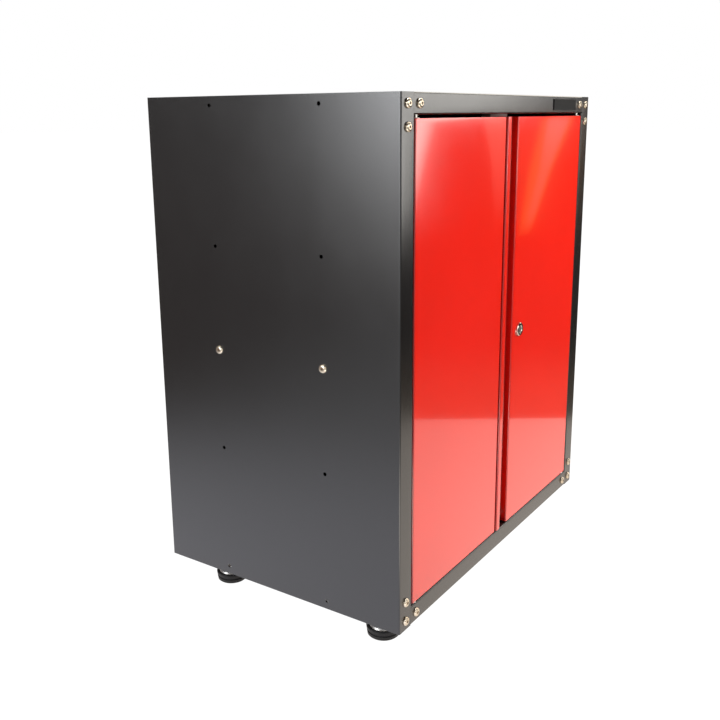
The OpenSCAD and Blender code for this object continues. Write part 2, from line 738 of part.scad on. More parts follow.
module lock_strike() {
    color("#77756f") placed() difference() {
        across(strike_x - strike_w, strike_x)
            polygon(fold([
                [strike_y, lock_z - cam_w / 2], [strike_y, strike_top],
                [shelf_front, strike_top], [shelf_front, rivet_z - 3 * rivet_r]
            ], strike_t));
        for (x = rivet_columns) along_y(x, shelf_front, rivet_z) hole(rivet_r + press_clear, 4 * strike_t);
    }
}
module strike_rivets() {
    head = rivet_r / 2;
    color("#b9b7b0") placed() for (x = rivet_columns) along_y(x, shelf_front - strike_t, rivet_z) {
        translate([0, 0, -head]) cylinder(r = 2 * rivet_r, h = head);
        cylinder(r = rivet_r, h = strike_t + sheet);
        translate([0, 0, strike_t + sheet]) cylinder(r = 1.5 * rivet_r, h = head);
    }
}

// Levelling feet: a tapered, grooved pad, a drawn steel disc with a threaded stem, and a jam nut that stops
// against a bracket welded into the bottom panel
module foot_bracket(s, front) {
    wall = half_in - sheet;
    y0 = front ? frame_bolt_l + bolt_tail : tray_back - sheet - bracket_l;
    spot = [s * (body_w / 2 - foot_side), front ? foot_front : body_d - foot_back, bracket_z];
    color("#77756f") placed() difference() {
        mirror([s > 0 ? 0 : 1, 0, 0]) deep(y0, y0 + bracket_l)
            polygon(fold([
                [wall - bracket_w, bracket_z + bracket_t], [wall - bracket_t, bracket_z + bracket_t],
                [wall - bracket_t, floor_z - bend_out - seam]
            ], bracket_t));
        translate(spot) hole(stem_r + hole_clear, 4 * bracket_t);
    }
}
module at_foot(p, z) translate([p[0] * (body_w / 2 - foot_side), p[1], z]) children();
module foot_weld_nuts() {
    color("#b9b7b0") placed() for (p = foot_spots) at_foot(p, bracket_z + bracket_t)
        hex_nut(foot_nut_af, foot_nut_t, stem_r + thread_clear);
}
module foot_jam_nut(p) {
    color("#c9c7c0") placed() at_foot(p, bracket_z - jam_t)
        hex_nut(foot_nut_af, jam_t, stem_r + press_clear);
}
function pad_wall(z) = pad_r - pad_taper * (1 - z / pad_h);
module foot_pad(p) {
    edge = pad_groove;
    waist = pad_h / 2;
    color("#18181a") placed() at_foot(p, 0) rotate_extrude()
        polygon([
            [0, 0], [pad_wall(0) - edge, 0], [pad_wall(edge), edge],
            [pad_wall(waist - pad_groove), waist - pad_groove],
            [pad_wall(waist) - pad_groove, waist - pad_groove / 3],
            [pad_wall(waist) - pad_groove, waist + pad_groove / 3],
            [pad_wall(waist + pad_groove), waist + pad_groove],
            [pad_wall(pad_h - edge), pad_h - edge], [pad_r - edge, pad_h],
            [disc_r + hole_clear, pad_h], [disc_r + hole_clear, pad_h - pad_seat], [0, pad_h - pad_seat]
        ]);
}
module foot_stem(p) {
    seat = pad_h - pad_seat;
    hub_r = 1.8 * stem_r;
    color("#d8d4c8") placed() at_foot(p, 0) rotate_extrude()
        polygon([
            [0, seat], [disc_r, seat], [disc_r, seat + pad_seat / 4], [disc_r - disc_h / 2, seat + disc_h],
            [hub_r, seat + disc_h + pad_seat / 2], [hub_r, seat + 4 * pad_seat], [stem_r, seat + 4 * pad_seat],
            [stem_r, stem_top], [0, stem_top]
        ]);
}

side_panel(-1);  // left_side_panel
side_panel(1);  // right_side_panel
top_panel();
bottom_panel();
back_panel();
back_panel_screws();
shelf();
shelf_bolts();
shelf_nuts();
gusset([-1, 1]);  // gusset_top_left
gusset([1, 1]);  // gusset_top_right
gusset([-1, -1]);  // gusset_bottom_left
gusset([1, -1]);  // gusset_bottom_right
frame_bolts();
frame_nuts();
badge_plate();
hinge_pins();
catch_body();
catch_magnets();
catch_screws();
lock_strike();
strike_rivets();
left_door_skin();
left_door_inner_panel();
door_bushes(-1);  // left_door_bushes
left_catch_plate();
right_door_skin();
right_door_inner_panel();
door_bushes(1);  // right_door_bushes
right_catch_plate();
lock_barrel();
lock_nut();
lock_plug();
lock_cam();
lock_cam_screw();
foot_bracket(-1, true);  // foot_bracket_front_left
foot_bracket(1, true);  // foot_bracket_front_right
foot_bracket(-1, false);  // foot_bracket_rear_left
foot_bracket(1, false);  // foot_bracket_rear_right
foot_weld_nuts();
foot_pad(foot_spots[0]);  // foot_pad_front_left
foot_pad(foot_spots[1]);  // foot_pad_front_right
foot_pad(foot_spots[2]);  // foot_pad_rear_left
foot_pad(foot_spots[3]);  // foot_pad_rear_right
foot_stem(foot_spots[0]);  // foot_stem_front_left
foot_stem(foot_spots[1]);  // foot_stem_front_right
foot_stem(foot_spots[2]);  // foot_stem_rear_left
foot_stem(foot_spots[3]);  // foot_stem_rear_right
foot_jam_nut(foot_spots[0]);  // foot_jam_nut_front_left
foot_jam_nut(foot_spots[1]);  // foot_jam_nut_front_right
foot_jam_nut(foot_spots[2]);  // foot_jam_nut_rear_left
foot_jam_nut(foot_spots[3]);  // foot_jam_nut_rear_right
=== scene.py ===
import math

import bmesh
import bpy
from mathutils import Matrix, Vector


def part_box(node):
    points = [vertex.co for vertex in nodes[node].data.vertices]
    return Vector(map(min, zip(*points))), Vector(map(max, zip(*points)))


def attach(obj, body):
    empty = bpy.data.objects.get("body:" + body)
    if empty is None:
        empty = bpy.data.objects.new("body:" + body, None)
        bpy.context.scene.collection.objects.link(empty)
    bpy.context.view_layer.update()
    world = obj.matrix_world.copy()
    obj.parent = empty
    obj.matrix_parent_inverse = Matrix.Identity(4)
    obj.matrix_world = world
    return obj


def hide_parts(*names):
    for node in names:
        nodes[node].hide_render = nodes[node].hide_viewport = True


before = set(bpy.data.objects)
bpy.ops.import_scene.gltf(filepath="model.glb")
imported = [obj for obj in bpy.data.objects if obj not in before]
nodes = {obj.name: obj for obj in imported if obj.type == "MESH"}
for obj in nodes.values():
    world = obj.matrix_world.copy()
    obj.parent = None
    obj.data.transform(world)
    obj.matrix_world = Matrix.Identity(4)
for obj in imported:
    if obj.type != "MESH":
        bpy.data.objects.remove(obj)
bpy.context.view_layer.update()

# Side panels: each is one 1 mm steel sheet, folded into the side, the front stile and the rear
# flange, and powder coated satin black after folding. Plain punched holes take the shelf's bolts
# and those of a neighbouring cabinet.


class Layer:
    """A socket on its way to a finish; arithmetic on it adds Math nodes to its tree."""

    def __init__(self, tree, socket=None):
        self.tree = tree
        self.socket = socket

    def node(self, kind, settings=None, inputs=None, output=0):
        """Adds a node of that type: its settings first, then the values or links of its sockets."""
        made = self.tree.nodes.new(kind)
        for name, value in (settings or {}).items():
            setattr(made, name, value)
        for name, value in (inputs or {}).items():
            if isinstance(value, Layer):
                self.tree.links.new(value.socket, made.inputs[name])
            else:
                made.inputs[name].default_value = value
        return Layer(self.tree, made.outputs[output])

    def maths(self, operation, first, second):
        return self.node("ShaderNodeMath", {"operation": operation}, {0: first, 1: second})

    def __add__(self, other):
        return self.maths("ADD", self, other)

    __radd__ = __add__

    def __sub__(self, other):
        return self.maths("SUBTRACT", self, other)

    def __rsub__(self, other):
        return self.maths("SUBTRACT", other, self)

    def __mul__(self, other):
        return self.maths("MULTIPLY", self, other)

    __rmul__ = __mul__

    def blend(self, share, under, over):
        """One colour laid over another by that share."""
        return self.node("ShaderNodeMix", {"data_type": "RGBA"}, {0: share, 6: under, 7: over}, 2)

    def grain(self, size, detail=2.0, spread=0.5):
        """Noise from 0 to 1 with lumps of that size in metres, fixed to the piece."""
        spot = self.node("ShaderNodeTexCoord", output="Object")
        sockets = {"Vector": spot, "Scale": 1.0 / size, "Detail": detail, "Roughness": spread}
        return self.node("ShaderNodeTexNoise", None, sockets)

    def between(self, low, high):
        """0 below one value, 1 above the other, with a soft step from one to the other."""
        sockets = {"Value": self, "From Min": low, "From Max": high}
        return self.node("ShaderNodeMapRange", {"interpolation_type": "SMOOTHSTEP"}, sockets)

    def inside(self, rise, fall):
        """1 between two soft steps, each given by the values where it starts and ends."""
        return self.between(*rise) * (1 - self.between(*fall))

    def rubbed(self, reach):
        """1 on a piece's edges, where hands and tools rub, down to 0 at that distance from them."""
        rounded = self.node("ShaderNodeBevel", {"samples": 4}, {"Radius": reach})
        facing = self.node("ShaderNodeNewGeometry", output="Normal")
        sockets = {0: rounded, 1: facing}
        alike = self.node("ShaderNodeVectorMath", {"operation": "DOT_PRODUCT"}, sockets, "Value")
        return 1 - alike.between(0.80, 0.99)

    def relief(self, height, depth):
        """A normal that stands the height's lumps up by that depth in metres."""
        return self.node("ShaderNodeBump", None, {"Strength": 1.0, "Distance": depth, "Height": height})

    def into(self, shader, socket):
        self.tree.links.new(self.socket, shader.inputs[socket])


def new_finish(name, **sockets):
    """A material with those constants on its shader; returns it, the shader and a bare Layer."""
    finish = bpy.data.materials.new(name)
    finish.use_nodes = True
    shader = finish.node_tree.nodes["Principled BSDF"]
    for socket, value in sockets.items():
        shader.inputs[socket.replace("_", " ")].default_value = value
    return finish, shader, Layer(finish.node_tree)


def tone(red, green, blue):
    return (red, green, blue, 1.0)


fold_limit = math.radians(32)
cut_edge_limit = math.radians(50)


def smooth_folds():
    """A modifier's node group that joins a CAD mesh's split corners and shades its folds smooth."""
    group = bpy.data.node_groups.new("smooth_folds", "GeometryNodeTree")
    for way in ("INPUT", "OUTPUT"):
        group.interface.new_socket("Geometry", in_out=way, socket_type="NodeSocketGeometry")
    sheet = Layer(group).node("NodeGroupInput")
    joined = sheet.node("GeometryNodeMergeByDistance", None, {"Geometry": sheet, "Distance": 1e-6})
    stored = {"Geometry": joined, "Name": "custom_normal"}
    plain = sheet.node("GeometryNodeRemoveAttribute", None, stored)
    smooth = sheet.node("GeometryNodeSetShadeSmooth", {"domain": "FACE"}, {"Geometry": plain})
    angle = sheet.node("GeometryNodeInputMeshEdgeAngle")
    corner = sheet.node("FunctionNodeCompare", {"operation": "GREATER_THAN"}, {0: angle, 1: fold_limit})
    sharp = {"Geometry": smooth, "Selection": corner, "Shade Smooth": False}
    creased = sheet.node("GeometryNodeSetShadeSmooth", {"domain": "EDGE"}, sharp)
    result = group.nodes.new("NodeGroupOutput")
    group.links.new(creased.socket, result.inputs[0])
    return group


folds = smooth_folds()


def dress(names, finish, edge=0.0):
    """Gives CAD pieces their finish and smooth folds, and rounds their cut edges by that radius."""
    for name in names:
        piece = nodes[name]
        for slot in piece.material_slots:
            slot.material = finish
        piece.modifiers.new("smooth_folds", "NODES").node_group = folds
        if edge:
            rounding = piece.modifiers.new("rounded_edges", "BEVEL")
            rounding.width = edge
            rounding.segments = 2
            rounding.limit_method = "ANGLE"
            rounding.angle_limit = cut_edge_limit
            rounding.harden_normals = True
        flat = piece.modifiers.new("flat_faces", "WEIGHTED_NORMAL")
        flat.keep_sharp = True


def powder_black(name, dark, light, rough):
    """Satin powder coat: a fine orange peel, a little cloudiness, and edges rubbed paler."""
    finish, shader, coat = new_finish(
        name, IOR=1.62, Coat_Weight=0.5, Coat_Roughness=rough, Coat_IOR=1.5
    )
    cloud = coat.grain(0.35, 3.0, 0.6).between(0.3, 0.7)
    edge = coat.rubbed(0.0012)
    body = coat.blend(cloud, dark, light)
    coat.blend(edge * 0.35, body, tone(0.06, 0.06, 0.062)).into(shader, "Base Color")
    smear = coat.grain(0.06, 4.0, 0.65)
    (smear * 0.08 + (rough - 0.04) + edge * 0.05).into(shader, "Roughness")
    peel = coat.grain(0.0016, 1.0) + 0.35 * coat.grain(0.0006, 1.0)
    coat.relief(peel, 0.00003).into(shader, "Normal")
    return finish


satin_black = powder_black(
    "satin_black_powder", tone(0.0075, 0.0077, 0.0080), tone(0.0100, 0.0102, 0.0105), 0.20
)
dress(("left_side_panel", "right_side_panel"), satin_black)

# Top, bottom, shelf and back: folded trays of the same coated sheet, bolted or screwed between the
# sides. The top and bottom trays' front flanges make the frame's rails.
dress(("top_panel", "bottom_panel", "shelf", "back_panel"), satin_black)

# Corner gussets, foot brackets and the lock's strike: plates of 1.5 to 2.5 mm, pressed and coated
# with a rougher black before they are fixed inside.
corners = [f"{end}_{side}" for end in ("front", "rear") for side in ("left", "right")]
coarse_black = powder_black(
    "coarse_black_powder", tone(0.014, 0.014, 0.015), tone(0.020, 0.020, 0.021), 0.52
)
gussets = [f"gusset_{level}_{side}" for level in ("top", "bottom") for side in ("left", "right")]
brackets = [f"foot_bracket_{corner}" for corner in corners]
dress(gussets + brackets + ["lock_strike"], coarse_black, 0.0003)

# Button-head bolts: M6 steel with a hexagon socket, in bright zinc plate that has gone slightly warm,
# with painted shade in the sockets; three in each corner of the frame, two in each side for the shelf.


def zinc_plate(name, bright, dull, rough, cloud_size, hollow_shade_share=0.9):
    """Plated steel: cloudy plating, finely scratched, with painted shade darkening its hollows and
    corners.
    """
    finish, shader, plate = new_finish(name, Metallic=1.0)
    cloud = plate.grain(cloud_size, 3.0, 0.6).between(0.35, 0.65)
    # Painted shade: the plating turns dark brown where ambient occlusion finds hollows and corners.
    hollow_shade_reach = 0.003
    open_air = plate.node("ShaderNodeAmbientOcclusion", {"samples": 6}, {"Distance": hollow_shade_reach}, "AO")
    hollow_shade = hollow_shade_share * (1 - open_air.between(0.35, 0.90))
    hollow_shade_tone = tone(0.40 * dull[0], 0.28 * dull[1], 0.18 * dull[2])
    plate.blend(hollow_shade, plate.blend(cloud, bright, dull), hollow_shade_tone).into(shader, "Base Color")
    scratch = plate.grain(0.0005, 2.0, 0.7)
    (scratch * 0.14 + cloud * 0.08 + (rough - 0.1)).into(shader, "Roughness")
    plate.relief(scratch, 0.000006).into(shader, "Normal")
    return finish


warm_zinc = zinc_plate(
    "warm_bright_zinc", tone(0.92, 0.82, 0.66), tone(0.70, 0.60, 0.46), 0.22, 0.004
)
dress(("frame_bolts", "shelf_bolts"), warm_zinc)

# Nuts, screws, rivets, catch plates and the lock's hidden parts: steel in plain, pale zinc plate,
# screwed, riveted or welded where they sit.
pale_zinc = zinc_plate("pale_zinc", tone(0.64, 0.64, 0.62), tone(0.50, 0.50, 0.49), 0.34, 0.008)
jam_nuts = [f"foot_jam_nut_{corner}" for corner in corners]
nuts = ["frame_nuts", "shelf_nuts", "foot_weld_nuts"]
small_fixings = ["back_panel_screws", "strike_rivets", "catch_screws"]
stamped = ("lock_nut", "lock_cam", "lock_cam_screw", "left_catch_plate", "right_catch_plate")
dress(nuts + jam_nuts + small_fixings, pale_zinc)
dress(stamped, pale_zinc, 0.00025)

# Doors: a 1 mm front skin with folded edges and a ribbed inner panel spot-welded behind it, dipped
# and sprayed in gloss red. The right door's free edge is folded on into the hooked finger pull, whose
# hollow has painted shade that darkens its red.
gloss_red, shader, coat = new_finish(
    "gloss_red_paint", IOR=1.55, Coat_Weight=1.0, Coat_Roughness=0.04, Coat_IOR=1.5
)
cloud = coat.grain(0.25, 2.0).between(0.3, 0.7)
edge = coat.rubbed(0.0010)
body = coat.blend(cloud, tone(0.80, 0.0115, 0.0035), tone(0.84, 0.0125, 0.0045))
# Painted shade: the red is darkened in the finger pull's hollow, where ambient occlusion finds it partly
# closed in.
hollow_reach = 0.035
open_air = coat.node("ShaderNodeAmbientOcclusion", {"samples": 6}, {"Distance": hollow_reach}, "AO")
painted_hollow_shade = open_air.inside((0.18, 0.30), (0.30, 0.85))
body = coat.blend(painted_hollow_shade * 0.9, body, tone(0.22, 0.002, 0.001))
coat.blend(edge * 0.25, body, tone(0.90, 0.10, 0.06)).into(shader, "Base Color")
dust = coat.grain(0.02, 4.0, 0.65)
(dust * 0.08 + 0.09).into(shader, "Roughness")
coat.relief(coat.grain(0.0030, 1.0), 0.000006).into(shader, "Normal")
dress(("left_door_skin", "right_door_skin"), gloss_red)
dress(("left_door_inner_panel", "right_door_inner_panel"), gloss_red, 0.0009)

# Hinges: headed steel pins in bright zinc plate with only faint painted shade in its hollows, pressed
# through the frame, turn in white nylon bushes in the doors' ends.
# Its hollows get only a tenth of the plate's painted shade.
pin_zinc = zinc_plate(
    "pin_bright_zinc", tone(0.95, 0.92, 0.85), tone(0.88, 0.84, 0.76), 0.16, 0.004, hollow_shade_share=0.1
)
dress(("hinge_pins",), pin_zinc, 0.0003)
nylon, shader, coat = new_finish("white_nylon", IOR=1.53, Subsurface_Weight=0.1)
cloud = coat.grain(0.006, 3.0)
coat.blend(cloud, tone(0.74, 0.72, 0.66), tone(0.80, 0.79, 0.74)).into(shader, "Base Color")
(cloud * 0.15 + 0.35).into(shader, "Roughness")
coat.relief(coat.grain(0.0008), 0.00001).into(shader, "Normal")
dress(("left_door_bushes", "right_door_bushes"), nylon, 0.0002)

# Twin magnetic catch: a grey moulded housing screwed under the top rail's fold, with two ground
# steel magnets that face a plate on each door.
grey_plastic, shader, coat = new_finish("grey_moulded_plastic", IOR=1.48)
edge = coat.rubbed(0.0012)
coat.blend(edge * 0.5, tone(0.46, 0.45, 0.43), tone(0.56, 0.55, 0.53)).into(shader, "Base Color")
texture = coat.grain(0.0007, 2.0)
(texture * 0.12 + 0.42).into(shader, "Roughness")
coat.relief(texture, 0.00002).into(shader, "Normal")
dress(("catch_body",), grey_plastic, 0.0006)
ground_steel, shader, coat = new_finish("ground_steel", Metallic=1.0)
grinding = {"Vector": coat.node("ShaderNodeTexCoord", output="Object"), "Scale": (120.0, 120.0, 6000.0)}
stretch = coat.node("ShaderNodeMapping", None, grinding)
lines = coat.node("ShaderNodeTexNoise", None, {"Vector": stretch, "Scale": 1.0, "Detail": 3.0})
coat.blend(lines, tone(0.36, 0.36, 0.37), tone(0.52, 0.52, 0.52)).into(shader, "Base Color")
(lines * 0.2 + 0.25).into(shader, "Roughness")
coat.relief(lines, 0.000004).into(shader, "Normal")
dress(("catch_magnets",), ground_steel, 0.0003)

# Cam lock: a chromed barrel with a raised ring and a turning plug with its key slot, held in the
# right door by a nut from behind.
chrome, shader, coat = new_finish("bright_chrome", Metallic=1.0)
haze = coat.grain(0.004, 3.0, 0.6)
coat.blend(haze, tone(0.84, 0.81, 0.74), tone(0.72, 0.69, 0.61)).into(shader, "Base Color")
(haze * 0.12 + 0.08).into(shader, "Roughness")
coat.relief(coat.grain(0.0006), 0.000003).into(shader, "Normal")
dress(("lock_barrel",), chrome, 0.0003)
satin_chrome = zinc_plate("satin_chrome", tone(0.80, 0.81, 0.80), tone(0.66, 0.67, 0.66), 0.40, 0.003)
dress(("lock_plug",), satin_chrome, 0.0003)

# Badge plate: a bare plate moulded from black plastic with a fine texture, glued to the top rail by
# its right end.
plate_black, shader, coat = new_finish("badge_black", IOR=1.42, Specular_IOR_Level=0.22)
edge = coat.rubbed(0.0010)
coat.blend(edge * 0.4, tone(0.008, 0.008, 0.008), tone(0.05, 0.05, 0.05)).into(shader, "Base Color")
texture = coat.grain(0.0009, 2.0)
(texture * 0.15 + 0.42).into(shader, "Roughness")
coat.relief(texture, 0.000015).into(shader, "Normal")
dress(("badge_plate",), plate_black, 0.0004)

# Levelling feet: a grooved rubber pad, and in its seat a drawn steel disc with a hub and an M10
# threaded stem that runs up through the jam nut and the nut welded on the bracket.
rubber, shader, coat = new_finish("black_rubber", IOR=1.52, Specular_IOR_Level=0.35)
bloom = coat.grain(0.012, 4.0, 0.6).between(0.35, 0.75)
edge = coat.rubbed(0.0015)
worn = coat.blend(bloom, tone(0.010, 0.010, 0.011), tone(0.018, 0.018, 0.018))
coat.blend(edge * 0.4, worn, tone(0.04, 0.04, 0.04)).into(shader, "Base Color")
(bloom * 0.14 + 0.48).into(shader, "Roughness")
coat.relief(coat.grain(0.0009, 3.0), 0.00003).into(shader, "Normal")
dress([f"foot_pad_{corner}" for corner in corners], rubber, 0.0004)

stem_r = 0.005
thread_pitch = 0.0015
thread_depth = 0.0008
around = 32
rows_per_turn = 6


def threaded_stem(name):
    """The disc, hub and stem of one foot, turned round its axis, with the thread cut in."""
    low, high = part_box(name)
    axis = (low + high) / 2
    disc_r = (high.x - low.x) / 2
    hub_r = 1.8 * stem_r
    flank_h = 0.005
    flank_r = disc_r - flank_h / 2
    soft = 0.0004
    hub_foot = 0.006
    hub_top = 0.0078
    thread_from = 0.008
    tip_share = 0.35
    rim = [(disc_r, 0.0), (disc_r, soft), (disc_r - soft, 0.0010)]
    rim += [(flank_r + soft, flank_h - 0.0007), (flank_r, flank_h - 0.0002), (flank_r - 0.0006, flank_h)]
    rim += [(hub_r, hub_foot), (hub_r, hub_top)]
    rows = round((high.z - low.z - thread_from) / thread_pitch * rows_per_turn)
    profile = [(r, z, 0.0) for r, z in rim]
    for row in range(rows + 1):
        z = thread_from + (high.z - low.z - thread_from) * row / rows
        lead = min(1.0, row / rows_per_turn, (rows - row) / rows_per_turn)
        if row == rows:
            lead = tip_share
        profile.append((stem_r, z, thread_depth * lead))
    form = bmesh.new()
    rings = []
    for r, z, depth in profile:
        ring = []
        for step in range(around):
            phase = (z / thread_pitch - step / around) % 1.0
            cut = depth * abs(2 * phase - 1)
            angle = 2 * math.pi * step / around
            x = axis.x + (r - cut) * math.cos(angle)
            y = axis.y + (r - cut) * math.sin(angle)
            ring.append(form.verts.new((x, y, low.z + z)))
        rings.append(ring)
    for below, above in zip(rings, rings[1:]):
        for step in range(around):
            after = (step + 1) % around
            form.faces.new((below[step], below[after], above[after], above[step]))
    form.faces.new(reversed(rings[0]))
    form.faces.new(rings[-1])
    mesh = bpy.data.meshes.new(name + "_threaded")
    form.to_mesh(mesh)
    form.free()
    for face in mesh.polygons:
        face.use_smooth = True
    mesh.set_sharp_from_angle(angle=math.radians(35))
    stem = bpy.data.objects.new(name + "_threaded", mesh)
    bpy.context.scene.collection.objects.link(stem)
    return stem


for corner in corners:
    stem = threaded_stem(f"foot_stem_{corner}")
    stem.data.materials.append(pale_zinc)
    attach(stem, f"foot_{corner}")
    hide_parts(f"foot_stem_{corner}")

# Studio floor: a wide strip of white paper under the cabinet, on a darker floor. The camera sees plain
# white but for the shade under the cabinet; the strip's edges and all tones only show in gloss.
paper_right_edge = (Vector((0.65, -0.70, 0.0)), Vector((0.80, -0.48, 0.0)))
paper_left_edge = (Vector((-0.84, 0.75, 0.0)), Vector((-1.03, 0.37, 0.0)))
right_edge_blur = (-0.008, 0.008)
left_edge_fade = (-0.62, 0.40)
floor_half = 40.0
floor_corners = [(x * floor_half, y * floor_half, 0.0) for x, y in ((-1, -1), (1, -1), (1, 1), (-1, 1))]
floor_mesh = bpy.data.meshes.new("floor")
floor_mesh.from_pydata(floor_corners, [], [(0, 1, 2, 3)])
floor = bpy.data.objects.new("floor", floor_mesh)
bpy.context.scene.collection.objects.link(floor)
paper, shader, coat = new_finish("white_paper", Roughness=0.9, Specular_IOR_Level=0.0)
shader.inputs["Base Color"].default_value = tone(0.62, 0.62, 0.62)
floor_spot = coat.node("ShaderNodeTexCoord", output="Object")
across_floor = coat.node("ShaderNodeSeparateXYZ", None, {0: floor_spot})
along_floor = coat.node("ShaderNodeSeparateXYZ", None, {0: floor_spot}, 1)


def reach(way):
    """How far a spot of the floor lies from the cabinet's middle along that way."""
    sockets = {0: floor_spot, 1: way}
    return coat.node("ShaderNodeVectorMath", {"operation": "DOT_PRODUCT"}, sockets, "Value")


def beyond(paper_edge):
    """How far a spot lies outside an edge of the paper that runs anticlockwise round it."""
    first, second = paper_edge
    run = second - first
    outward = Vector((run.y, -run.x, 0.0)).normalized()
    return reach(outward) - outward.dot(first)


out_right = beyond(paper_right_edge)
out_left = beyond(paper_left_edge)
off_paper = out_right.between(*right_edge_blur) + out_left.between(*left_edge_fade)

# In gloss the paper glows cool white at the cabinet's left, warmer and dimmer to its right, with painted
# shade far in front and a painted pool of bright light by the cabinet's near corner.
warming = across_floor.between(-0.45, -0.2)
fading = across_floor.between(-0.1, 1.3)
shaded = (1 - along_floor.between(-1.0, -0.75)) * (1 - across_floor.between(0.3, 0.6))
near_strip = ((-1.0, -0.8), (-0.50, -0.36))
lit_corner = across_floor.inside(*near_strip) * along_floor.inside(*near_strip)
paper_tone = coat.blend(warming, tone(1.12, 1.11, 1.20), tone(1.0, 0.90, 0.80))
paper_tone = coat.blend(fading, paper_tone, tone(0.66, 0.58, 0.50))
paper_tone = coat.blend(shaded, paper_tone, tone(0.30, 0.28, 0.26))
paper_tone = coat.blend(lit_corner, paper_tone, tone(3.4, 3.2, 2.9))

# The floor beyond the paper glows dark brown at the right and grey at the left, darker to the back, with
# a painted bright sheen far out at the left.
right_tone = coat.blend(out_right.between(0.0, 0.9), tone(0.16, 0.12, 0.085), tone(0.035, 0.025, 0.02))
left_tone = coat.blend(along_floor.between(0.2, 1.4), tone(0.58, 0.57, 0.58), tone(0.20, 0.165, 0.155))
floor_tone = coat.blend(across_floor.between(-0.8, 0.4), left_tone, right_tone)
sheen = reach(Vector((-0.62, -0.82, 0.0))).between(0.0, 3.0) * (1 - across_floor.between(-4.0, -2.0))
sheen = sheen * along_floor.between(0.0, 1.2)
floor_tone = coat.blend(sheen, floor_tone, tone(4.2, 4.25, 4.3))
mirrored = coat.blend(off_paper, paper_tone, floor_tone)

# What the camera sees: white paper, and its plain lit surface in the shade between the feet.
white_share = 0.95
under = across_floor.inside((-0.270, -0.256), (0.28, 0.32))
under = under * along_floor.inside((-0.178, -0.160), (0.17, 0.21))
floor_to_camera = coat.node("ShaderNodeLightPath", output="Is Camera Ray")
floor_in_gloss = coat.node("ShaderNodeLightPath", output="Is Glossy Ray")
white = coat.node("ShaderNodeEmission", None, {"Color": tone(1.0, 1.0, 1.0), "Strength": 1.1})
mirror_glow = coat.node("ShaderNodeEmission", None, {"Color": mirrored, "Strength": 1.0})
lit_paper = Layer(coat.tree, shader.outputs[0])
bright = floor_to_camera * (1 - under) * white_share
floor_seen = coat.node("ShaderNodeMixShader", None, {0: bright, 1: lit_paper, 2: white})
whole_floor = coat.node("ShaderNodeMixShader", None, {0: floor_in_gloss, 1: floor_seen, 2: mirror_glow})
coat.tree.links.new(whole_floor.socket, coat.tree.nodes["Material Output"].inputs["Surface"])
floor_mesh.materials.append(paper)

# Room: plain white to the camera. For light and gloss its walls are dim, with a wide bright window at
# the left. A glow under the ceiling at the right only shows in gloss.
world = bpy.data.worlds.new("studio")
world.use_nodes = True
bpy.context.scene.world = world
room = Layer(world.node_tree)
outlook = room.node("ShaderNodeTexCoord", output="Generated")


def toward(left, back, height):
    """How far a direction of the room lies towards that one: 1 straight at it."""
    sockets = {0: outlook, 1: Vector((-left, back, height)).normalized()}
    return room.node("ShaderNodeVectorMath", {"operation": "DOT_PRODUCT"}, sockets, "Value")


def round_glow(aim, outer, inner):
    """1 within the inner angle of that direction, in degrees, down to 0 at the outer one."""
    return toward(*aim).between(math.cos(math.radians(outer)), math.cos(math.radians(inner)))


room_in_gloss = room.node("ShaderNodeLightPath", output="Is Glossy Ray")
room_to_camera = room.node("ShaderNodeLightPath", output="Is Camera Ray")
left_wall = toward(0.6, 0.8, 0.0).between(-0.6, 0.8)
window = round_glow((1.0, 0.34, 0.20), 19, 15)
ceiling = room_in_gloss * round_glow((-0.8, 0.05, 0.55), 28, 14)
room_tone = room.blend(left_wall, tone(0.03, 0.03, 0.035), tone(0.205, 0.182, 0.174))
room_tone = room.blend(window, room_tone, tone(7.0, 7.1, 7.3))
room_tone = room.blend(ceiling, room_tone, tone(2.7, 2.5, 2.2))
room_tone = room.blend(room_to_camera, room_tone, tone(1.0, 1.0, 1.0))
backdrop = world.node_tree.nodes["Background"]
room_tone.into(backdrop, "Color")
backdrop.inputs["Strength"].default_value = 1.0

# Reflector cards in front, which only gloss shows. At the right a large one brightens the top rail and
# the left stile, a slim one is the pale streak in the left door, and an orange one with a paler core
# is the streak in the right door. The one behind the camera brightens the bolts, pins and folds; it is
# dim at the height that the near corner's fold mirrors.
card_plane = -2.0
core_plane = card_plane + 0.01
fade_columns = ((0.0, 0.0), (0.12, 1.0), (0.88, 1.0), (1.0, 0.0))


def reflector(name, outline, strength, hue, plane=card_plane):
    """A glowing card in an upright plane: its rows go up, each (x left, x right, z, glow)."""
    spots = []
    glows = []
    for left, right, z, level in outline:
        for column, soft in fade_columns:
            spots.append((left + (right - left) * column, plane, z))
            glows.append(level * soft)
    wide = len(fade_columns)
    faces = []
    for row in range(len(outline) - 1):
        for column in range(wide - 1):
            first = row * wide + column
            faces.append((first, first + 1, first + wide + 1, first + wide))
    mesh = bpy.data.meshes.new(name)
    mesh.from_pydata(spots, [], faces)
    mesh.attributes.new("glow", "FLOAT", "POINT").data.foreach_set("value", glows)
    card = bpy.data.objects.new(name, mesh)
    bpy.context.scene.collection.objects.link(card)
    finish = bpy.data.materials.new(name)
    finish.use_nodes = True
    light = Layer(finish.node_tree)
    share = light.node("ShaderNodeAttribute", {"attribute_name": "glow"}, None, "Fac")
    clear = light.node("ShaderNodeBsdfTransparent")
    lamp = light.node("ShaderNodeEmission", None, {"Color": hue, "Strength": strength})
    mixed = light.node("ShaderNodeMixShader", None, {0: share, 1: clear, 2: lamp})
    light.tree.links.new(mixed.socket, light.tree.nodes["Material Output"].inputs["Surface"])
    mesh.materials.append(finish)
    card.visible_camera = False
    card.visible_diffuse = False
    card.visible_shadow = False


